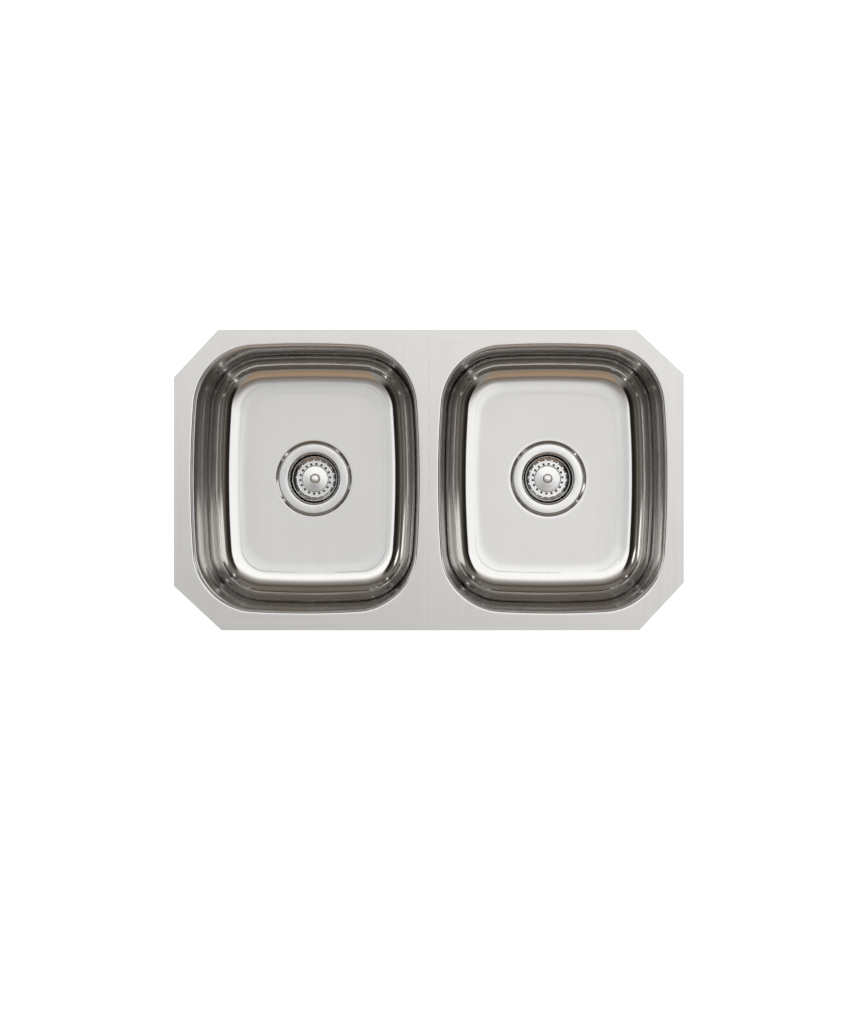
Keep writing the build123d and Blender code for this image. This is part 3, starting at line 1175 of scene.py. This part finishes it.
@dataclass
class SoundPad:
    """Damping pad under one floor, with rounded edges, in metres."""

    side: Side
    thickness: float = 3 * MM
    glue: float = 0.1 * MM
    depth: float = 190 * MM
    sheet: float = 1 * MM
    floor_dish: float = 5500 * MM
    corner: float = 45 * MM
    hole: float = 72.2 * MM
    edge: float = 1.1 * MM
    around: int = 160
    spread: int = 6
    edge_steps: int = 4

    def outline(self, turn: float) -> float:
        """Distance from the drain to the pad's outer edge.

        Args:
            turn: Direction from the drain, in radians.

        Returns:
            The distance.
        """
        low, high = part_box(self.side.node("sound_pad"))
        half_x = (high[0] - low[0]) / 2
        half_y = (high[1] - low[1]) / 2
        heading = Vector((abs(math.cos(turn)), abs(math.sin(turn))))
        core = Vector((half_x - self.corner, half_y - self.corner))
        to_side = half_x / max(heading.x, MM)
        to_end = half_y / max(heading.y, MM)
        if to_side * heading.y <= core.y:
            return to_side
        if to_end * heading.x <= core.x:
            return to_end
        along = heading.dot(core)
        return along + math.sqrt(along**2 - core.length_squared + self.corner**2)

    def build(self) -> Piece:
        """Models the pad as a skin round its section."""
        centre = self.side.drain
        turns = [math.tau * index / self.around for index in range(self.around)]
        reaches = [self.outline(turn) - self.hole for turn in turns]
        top = -self.depth - self.sheet - self.glue

        def ring_at(inset: float, share: float, drop: float) -> list[Vector]:
            """A ring at a share of the way out, moved in and down."""
            points: list[Vector] = []
            for turn, reach in zip(turns, reaches):
                radius = self.hole + inset + (reach - 2 * inset) * share
                height = top - drop + radius**2 / (2 * self.floor_dish)
                x, y = radius * math.cos(turn), radius * math.sin(turn)
                points.append(centre + Vector((x, y, height)))
            return points

        bm = bmesh.new()
        skin = RingSkin(bm, ring_at(0.0, 0.0, 0.0))
        first = skin.edges
        shares = [step / self.spread for step in range(self.spread + 1)]
        for share in shares[1:]:
            skin.grow(ring_at(0.0, share, 0.0))
        for end, run in ((1.0, range(self.edge_steps + 1)), (0.0, range(self.edge_steps, -1, -1))):
            for step in run:
                bend = step / self.edge_steps * math.pi / 2
                inset = self.edge * (1 - math.cos(bend))
                skin.grow(ring_at(inset, end, self.thickness - self.edge * (1 - math.sin(bend))))
            if end == 1.0:
                for share in shares[-2:0:-1]:
                    skin.grow(ring_at(self.edge, share, self.thickness))
        bmesh.ops.bridge_loops(bm, edges=first + skin.edges)
        closed_up(bm)
        return to_object(self.side.node("damping_pad"), bm)

    def dress(self, piece: Piece, finish: Material) -> None:
        """Gives the pad its finish and puts it on its body."""
        settle(piece, finish, "pad_rubber", "sink", self.side.node("sound_pad"))


@dataclass
class StrainerWaste:
    """Flanged cup and outlet neck of one waste, both with real threads, in metres."""

    side: Side
    flange_radius: float = 56 * MM
    flange_edge: float = 1 * MM
    shoulder: float = 4.5 * MM
    cup_radius: float = 39.8 * MM
    cup_low_radius: float = 38.5 * MM
    seat_radius: float = 32 * MM
    foot_bend: float = 10 * MM
    foot_rounding: float = 5 * MM
    wall: float = 2.2 * MM
    seal_top: float = -193.5 * MM
    flange_top: float = -192 * MM
    bend_height: float = -221 * MM
    cup_floor: float = -233 * MM
    cup_thread: Thread = Thread(42 * MM, 41.1 * MM, 2.4 * MM, -198.5 * MM, 7)
    bore: float = 21 * MM
    collar_radius: float = 29 * MM
    collar_thickness: float = 2 * MM
    collar_rounding: float = 1.5 * MM
    neck_end: float = -261 * MM
    neck_thread: Thread = Thread(23.9 * MM, 23.1 * MM, 2.2 * MM, -240.5 * MM, 7)
    thread_lead: float = 1.2 * MM
    chamfer: float = 0.8 * MM
    around: int = 128
    arc_steps: int = 8
    sharp_angle: float = 30.0

    def threaded(self, thread: Thread) -> list[Corner]:
        """Wall of a thread from its lower end to its upper end, sunk to the root between them."""
        return [
            Corner(thread.crest, thread.low - self.thread_lead),
            Corner(thread.root, thread.low),
            Corner(thread.root, thread.top),
            Corner(thread.crest, thread.top + self.thread_lead),
        ]

    def screwed(self, name: str, corners: Sequence[Corner], thread: Thread) -> Piece:
        """Spins a section with a thread.

        Args:
            name: Object name.
            corners: Corners of the closed section.
            thread: Its thread.

        Returns:
            The new piece.
        """
        centre = self.side.drain
        bm = turned(corners, self.arc_steps, centre, self.around)
        thread.cut(bm, centre)
        closed_up(bm)
        return to_object(self.side.node(name), bm, self.sharp_angle)

    def build_cup(self) -> Piece:
        """Models the cup with its flange."""
        crest = self.cup_thread.crest
        under = self.cup_floor - self.wall
        corners = [
            Corner(self.flange_radius, self.seal_top),
            Corner(self.flange_radius, self.flange_top, self.flange_edge),
            Corner(self.cup_radius, self.flange_top, self.shoulder),
            Corner(self.cup_low_radius, self.bend_height, self.foot_bend),
            Corner(self.seat_radius, self.cup_floor),
            Corner(self.bore, self.cup_floor),
            Corner(self.bore, under),
            Corner(self.seat_radius + self.wall, under),
            Corner(crest, self.bend_height, self.foot_rounding),
            *self.threaded(self.cup_thread),
            Corner(crest, self.seal_top),
        ]
        return self.screwed("threaded_cup", corners, self.cup_thread)

    def build_neck(self) -> Piece:
        """Models the outlet neck with its collar."""
        crest = self.neck_thread.crest
        collar_top = self.cup_floor - self.wall
        collar_bottom = collar_top - self.collar_thickness
        corners = [
            Corner(self.bore, self.neck_end),
            Corner(self.bore, collar_top),
            Corner(self.collar_radius, collar_top),
            Corner(self.collar_radius, collar_bottom, self.collar_rounding),
            Corner(crest, collar_bottom),
            *reversed(self.threaded(self.neck_thread)),
            Corner(crest, self.neck_end + self.chamfer),
            Corner(crest - self.chamfer, self.neck_end),
        ]
        return self.screwed("threaded_outlet", corners, self.neck_thread)

    def dress(self, cup: Piece, neck: Piece, finish: Material) -> None:
        """Gives both pieces their finish and puts them on their body."""
        settle(cup, finish, "waste_steel", "sink", self.side.node("strainer_body"))
        settle(neck, finish, "waste_steel", "sink", self.side.node("outlet_neck"))


@dataclass
class LockNut:
    """Moulded nut under the recess: a collar with a wide face and rounded lugs, in metres."""

    side: Side
    inner: float = 42.15 * MM
    outer: float = 49.15 * MM
    face_radius: float = 52.15 * MM
    top: float = -200 * MM
    face_height: float = 3 * MM
    height: float = 12 * MM
    lugs: int = 8
    lug_width: float = 9 * MM
    lug_end: float = 53.65 * MM
    lug_start: float = 46 * MM
    edge: float = 0.8 * MM
    around: int = 128
    arc_steps: int = 4
    lug_segments: int = 3

    def build(self) -> Piece:
        """Models the nut."""
        bottom = self.top - self.height
        face_bottom = self.top - self.face_height
        corners = [
            Corner(self.inner, self.top),
            Corner(self.face_radius, self.top, self.edge),
            Corner(self.face_radius, face_bottom, self.edge),
            Corner(self.outer, face_bottom, self.edge),
            Corner(self.outer, bottom, self.edge),
            Corner(self.inner, bottom, self.edge),
        ]
        centre = self.side.drain
        bm = turned(corners, self.arc_steps, centre, self.around)
        size = Vector((self.lug_end - self.lug_start, self.lug_width, self.height - self.edge))
        middle = Vector(((self.lug_end + self.lug_start) / 2, 0.0, bottom + size.z / 2))
        offset, scale = Matrix.Translation(middle), Matrix.Diagonal(size).to_4x4()
        lug_edges: list[bmesh.types.BMEdge] = []
        for index in range(self.lugs):
            turn = Matrix.Rotation(math.tau * index / self.lugs, 4, "Z")
            place = Matrix.Translation(centre) @ turn @ offset @ scale
            made = bmesh.ops.create_cube(bm, size=1.0, matrix=place)["verts"]
            lug_edges.extend({edge for vert in made for edge in vert.link_edges})
        bmesh.ops.bevel(
            bm,
            geom=lug_edges,
            offset=self.edge,
            offset_type="OFFSET",
            segments=self.lug_segments,
            profile=0.5,
            affect="EDGES",
            material=-1,
        )
        closed_up(bm)
        return to_object(self.side.node("lugged_nut"), bm)

    def dress(self, piece: Piece, finish: Material) -> None:
        """Gives the nut its finish and puts it on its body."""
        settle(piece, finish, "nut_plastic", "sink", self.side.node("lock_nut"))


@dataclass
class BodyGasket:
    """Moulded rubber ring under the recess, with rounded edges, in metres."""

    side: Side
    inner: float = 42.6 * MM
    outer: float = 54.1 * MM
    top: float = -196 * MM
    thickness: float = 3 * MM
    edge: float = 1 * MM
    around: int = 128
    arc_steps: int = 5

    def build(self) -> Piece:
        """Models the ring."""
        bottom = self.top - self.thickness
        corners = [
            Corner(self.inner, self.top, self.edge),
            Corner(self.outer, self.top, self.edge),
            Corner(self.outer, bottom, self.edge),
            Corner(self.inner, bottom, self.edge),
        ]
        bm = turned(corners, self.arc_steps, self.side.drain, self.around)
        closed_up(bm)
        return to_object(self.side.node("rubber_ring"), bm)

    def dress(self, piece: Piece, finish: Material) -> None:
        """Gives the ring its finish and puts it on its body."""
        settle(piece, finish, "seal_rubber", "sink", self.side.node("body_gasket"))


@dataclass(frozen=True)
class Patch:
    """A pale patch of the tent; angles in degrees, the turn from +X towards the rear."""

    turn: float
    rise: float
    core: float
    edge: float
    colour: Colour

    @property
    def aim(self) -> Vector:
        """Direction of the patch's middle."""
        turn, rise = math.radians(self.turn), math.radians(self.rise)
        flat = math.cos(rise)
        return Vector((math.cos(turn) * flat, math.sin(turn) * flat, math.sin(rise)))

    def lit(self, bench: NodeBench, unit: Socket) -> Socket:
        """1 for directions inside the patch, 0 outside."""
        inputs = {0: unit, 1: self.aim}
        near = bench.add("ShaderNodeVectorMath", inputs, operation="DOT_PRODUCT").outputs[1]
        edge, core = (math.cos(math.radians(angle)) for angle in (self.edge, self.core))
        return bench.span(near, edge, core)


@dataclass
class Studio:
    """Camera, floor, soft overhead light and the tent round the set."""

    camera_height: float = 3.35
    camera_x: float = 0.063
    mm_per_pixel: float = 1.529
    image_width: float = 858.0
    image_height: float = 1024.0
    axis_pixel: tuple[float, float] = (470.0, 480.0)
    sensor: float = 36.0
    view_reach: float = 60.0
    floor_half: float = 12.0
    floor_colour: Colour = (0.55, 0.55, 0.55)
    floor_roughness: float = 0.9
    floor_glow: float = 0.78
    light_height: float = 10.0
    light_left: float = -32.0
    light_right: float = 34.0
    light_front: float = -13.0
    light_rear: float = 31.0
    light_radiance: float = 1.5
    lamp_radiance: float = 1.2
    ambient: float = 0.7
    tent_radius: float = 14.0
    tent_foot: float = 0.2
    tent_segments: tuple[int, int] = (48, 32)
    strip_middle: float = 0.025
    strip_half: float = 0.65
    strip_blur: float = 0.03
    strip_span: float = 4.0
    strip_stops: Stops = (
        (-1.9, (0.34, 0.295, 0.25)),
        (-1.3, (0.45, 0.32, 0.21)),
        (-0.8, (0.53, 0.38, 0.26)),
        (-0.62, (0.27, 0.215, 0.17)),
        (-0.45, (0.31, 0.28, 0.25)),
        (-0.3, (0.5, 0.47, 0.45)),
        (-0.15, (1.05, 1.04, 1.03)),
        (0.0, (1.36, 1.36, 1.36)),
        (0.12, (1.44, 1.44, 1.43)),
        (0.45, (1.48, 1.47, 1.44)),
        (0.6, (1.0, 0.98, 0.94)),
        (0.8, (0.5, 0.47, 0.44)),
        (1.1, (0.3, 0.265, 0.235)),
        (1.5, (0.12, 0.105, 0.09)),
        (1.9, (0.19, 0.165, 0.135)),
    )
    side_stops: Stops = (
        (0.2, (0.62, 0.58, 0.54)),
        (0.34, (0.46, 0.42, 0.38)),
        (0.48, (0.245, 0.215, 0.185)),
        (0.57, (0.14, 0.12, 0.1)),
        (0.65, (0.05, 0.043, 0.036)),
        (0.74, (0.02, 0.017, 0.014)),
    )
    side_front: float = -0.5
    side_rear: float = 0.1
    side_dim: float = 0.45
    end_start: float = 0.62
    end_full: float = 0.82
    patches: tuple[Patch, ...] = (
        Patch(165.0, 25.0, 9.0, 13.0, (1.65, 1.61, 1.53)),
        Patch(12.0, 15.0, 6.5, 9.5, (2.8, 2.75, 2.63)),
    )
    shade_place: tuple[float, float] = (-0.2, -0.1)
    shade_near: float = 0.14
    shade_far: float = 0.34
    shade_left: float = 0.66
    warm_half: float = 0.42
    warm_blur: float = 0.2
    warm_start: float = -0.62
    warm_end: float = -0.5
    front_grey: Colour = (0.36, 0.34, 0.32)

    def camera(self) -> None:
        """Looks straight down, as the photograph does."""
        data = bpy.data.cameras.new("overhead")
        focal_pixels = self.camera_height / (self.mm_per_pixel * MM)
        data.sensor_fit = "VERTICAL"
        data.sensor_height = self.sensor
        data.lens = self.sensor * focal_pixels / self.image_height
        data.shift_x = -(self.axis_pixel[0] - self.image_width / 2) / self.image_height
        data.shift_y = (self.axis_pixel[1] - self.image_height / 2) / self.image_height
        data.clip_end = self.view_reach
        eye = bpy.data.objects.new("overhead", data)
        eye.location = (self.camera_x, 0.0, self.camera_height)
        bpy.context.scene.collection.objects.link(eye)
        bpy.context.scene.camera = eye

    def floor(self, height: float) -> None:
        """A pale floor under the outlets, clear from below."""
        bm = bmesh.new()
        bmesh.ops.create_grid(bm, x_segments=1, y_segments=1, size=self.floor_half)
        bmesh.ops.translate(bm, verts=bm.verts, vec=(0.0, 0.0, height))
        ground = to_object("floor", bm)
        material, bench = new_finish("pale_floor")
        shader = bench.tree.nodes["Principled BSDF"]
        bench.feed(shader, "Base Color", rgba(self.floor_colour))
        bench.feed(shader, "Roughness", self.floor_roughness)
        bench.feed(shader, "Emission Color", WHITE)
        bench.feed(shader, "Emission Strength", bench.product(bench.seen(), self.floor_glow))
        clear = bench.add("ShaderNodeBsdfTransparent").outputs[0]
        behind = bench.add("ShaderNodeNewGeometry").outputs["Backfacing"]
        bench.show(bench.add("ShaderNodeMixShader", {0: behind, 1: shader.outputs[0], 2: clear}))
        ground.data.materials.append(material)
        ground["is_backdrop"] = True

    def tent(self) -> None:
        """A tent that only reflections see: dark beside the light, warm in front, pale low down."""
        bm = bmesh.new()
        round_it, upright = self.tent_segments
        bmesh.ops.create_uvsphere(
            bm, u_segments=round_it, v_segments=upright, radius=self.tent_radius
        )
        bmesh.ops.bisect_plane(
            bm,
            geom=bm.verts[:] + bm.edges[:] + bm.faces[:],
            plane_co=(0.0, 0.0, self.tent_foot * self.tent_radius),
            plane_no=(0.0, 0.0, 1.0),
            clear_inner=True,
        )
        cover = to_object("tent", bm)
        cover.visible_camera = False
        cover.visible_diffuse = False
        cover.visible_shadow = False
        cover.visible_transmission = False
        cover.visible_volume_scatter = False
        material, bench = new_finish("tent_cloth")
        inputs = {"Color": self.cloth(bench), "Strength": self.light_radiance}
        bench.show(bench.add("ShaderNodeEmission", inputs))
        cover.data.materials.append(material)
        cover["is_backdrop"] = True

    def cloth(self, bench: NodeBench) -> Socket:
        """Paints the tent by direction: a bright strip overhead, dark sides and pale patches.

        Args:
            bench: Bench of the tent's material.

        Returns:
            The tent's colour, with the light's radiance as 1.
        """
        whole = bench.whole()
        unit = bench.add("ShaderNodeVectorMath", {0: whole}, operation="NORMALIZE").outputs[0]
        x, y, z = bench.parts(unit)
        across = bench.math("DIVIDE", x, z)
        ahead = bench.math("DIVIDE", y, z)
        share = bench.scaled(ahead, 1 / self.strip_span, 0.5)
        stops = [(slope / self.strip_span + 0.5, colour) for slope, colour in self.strip_stops]
        strip = self.ramp(bench, share, stops)
        # The warm front is narrow. Beside it the room is grey.
        outer = self.warm_half + self.warm_blur
        beside = bench.span(bench.size(across), self.warm_half, outer)
        front = bench.span(ahead, self.warm_start, self.warm_end, 1.0, 0.0)
        grey = rgba(self.dimmed(self.front_grey))
        strip = bench.tint(bench.product(beside, front), strip, grey)
        # The camera stands in the light, so that straight above is dimmer.
        centre_x, centre_y = self.shade_place
        far = bench.distance(bench.less(across, centre_x), bench.less(ahead, centre_y))
        dimmer = bench.span(far, self.shade_near, self.shade_far, self.shade_left, 1.0)
        strip = bench.shaded(strip, dimmer)
        sides = self.ramp(bench, z, self.side_stops)
        flat = bench.math("SQRT", bench.less(1.0, bench.product(z, z)))
        facing = bench.math("DIVIDE", y, bench.math("MAXIMUM", flat, MM))
        dimmer = bench.span(facing, self.side_front, self.side_rear, self.side_dim, 1.0)
        sides = bench.shaded(sides, dimmer)
        for patch in self.patches:
            sides = bench.tint(patch.lit(bench, unit), sides, rgba(self.dimmed(patch.colour)))
        offset = bench.size(bench.less(across, self.strip_middle))
        inner, outer = self.strip_half - self.strip_blur, self.strip_half + self.strip_blur
        inside = bench.span(offset, inner, outer, 1.0, 0.0)
        ends = bench.span(bench.size(facing), self.end_start, self.end_full)
        return bench.tint(bench.math("MAXIMUM", inside, ends), sides, strip)

    def dimmed(self, colour: Colour) -> Colour:
        """A radiance as a share of the light's radiance."""
        red, green, blue = (part / self.light_radiance for part in colour)
        return red, green, blue

    def ramp(
        self, bench: NodeBench, value: Socket, stops: Sequence[tuple[float, Colour]]
    ) -> Socket:
        """Adds a colour ramp.

        Args:
            bench: Bench of the tent's material.
            value: What the ramp reads.
            stops: Places and radiances along it.

        Returns:
            The ramp's colour.
        """
        node = bench.add("ShaderNodeValToRGB", {0: value})
        elements = node.color_ramp.elements
        while len(elements) < len(stops):
            elements.new(1.0)
        for element, (position, colour) in zip(elements, stops):
            element.position = position
            element.color = rgba(self.dimmed(colour))
        return node.outputs[0]

    def light(self) -> None:
        """The soft light overhead and a white world."""
        left, right, front, rear = (
            self.light_height * math.tan(math.radians(angle))
            for angle in (self.light_left, self.light_right, self.light_front, self.light_rear)
        )
        data = bpy.data.lights.new("overhead_light", "AREA")
        data.shape = "RECTANGLE"
        data.size = right - left
        data.size_y = rear - front
        data.energy = self.lamp_radiance * math.pi * data.size * data.size_y
        lamp = bpy.data.objects.new("overhead_light", data)
        lamp.location = ((left + right) / 2, (front + rear) / 2, self.light_height)
        lamp.visible_camera = False
        lamp.visible_glossy = False
        bpy.context.scene.collection.objects.link(lamp)
        world = bpy.data.worlds.new("studio")
        bpy.context.scene.world = world
        world.use_nodes = True
        bench = NodeBench(world.node_tree)
        back = bench.tree.nodes["Background"]
        bench.feed(back, "Color", WHITE)
        bench.feed(back, "Strength", bench.blend(bench.seen(), self.ambient, 1.0))

    def build(self) -> None:
        """Sets the whole studio."""
        bpy.context.scene.view_settings.view_transform = "Standard"
        self.camera()
        low, _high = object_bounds()
        self.floor(low[2])
        self.tent()
        self.light()


def main() -> None:
    """Builds every piece and the studio."""
    logging.basicConfig(level=logging.INFO)
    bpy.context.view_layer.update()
    effects = Effects()
    flange = BrushedFlange().make(effects)
    drawn = DrawnBowl().make(effects)
    mill = MillSteel().make(effects)
    drain = Side.RIGHT.drain
    polished = TurnedSteel("waste_polished").make(effects, drain)
    satin = TurnedSteel("knob_satin", (0.82, 0.815, 0.81), 0.3).make(effects, drain)
    weld = WeldSteel().make(effects)
    seal = Moulded("seal_rubber", (0.03, 0.03, 0.032), (0.06, 0.06, 0.062), 0.5).make(effects)
    pad = Moulded(
        "pad_rubber", (0.05, 0.05, 0.054), (0.09, 0.09, 0.092), 0.7, grain=420.0, depth=0.3 * MM
    ).make(effects)
    fibre = Moulded("fibre", (0.36, 0.15, 0.1), (0.5, 0.26, 0.18), 0.65, grain=700.0).make(effects)
    plastic = Moulded("nut_plastic", (0.08, 0.08, 0.085), (0.13, 0.13, 0.135), 0.42).make(effects)
    nylon = Moulded(
        "sleeve_plastic", (0.82, 0.8, 0.75), (0.88, 0.87, 0.84), 0.4, dust=0.1
    ).make(effects)
    bead = WeldBead()
    bead.dress(bead.build(), weld)
    for side in Side:
        bowl = BowlPressing(side)
        bowl.dress(bowl.build(), [flange, drawn, mill])
        damping = SoundPad(side)
        damping.dress(damping.build(), pad)
        waste = StrainerWaste(side)
        waste.dress(waste.build_cup(), waste.build_neck(), polished)
        nut = LockNut(side)
        nut.dress(nut.build(), plastic)
        gasket = BodyGasket(side)
        gasket.dress(gasket.build(), seal)
        for piece in ("stem_guide", "basket_cup", "basket_stem", "stopper_washer", "stem_nut"):
            dress_node(side.node(piece), polished)
        dress_node(side.node("basket_knob"), satin)
        for piece in ("flange_seal", "stopper_seal"):
            dress_node(side.node(piece), seal)
        dress_node(side.node("friction_ring"), fibre)
        dress_node(side.node("stem_sleeve"), nylon)
    Studio().build()


if __name__ == "__main__":
    main()
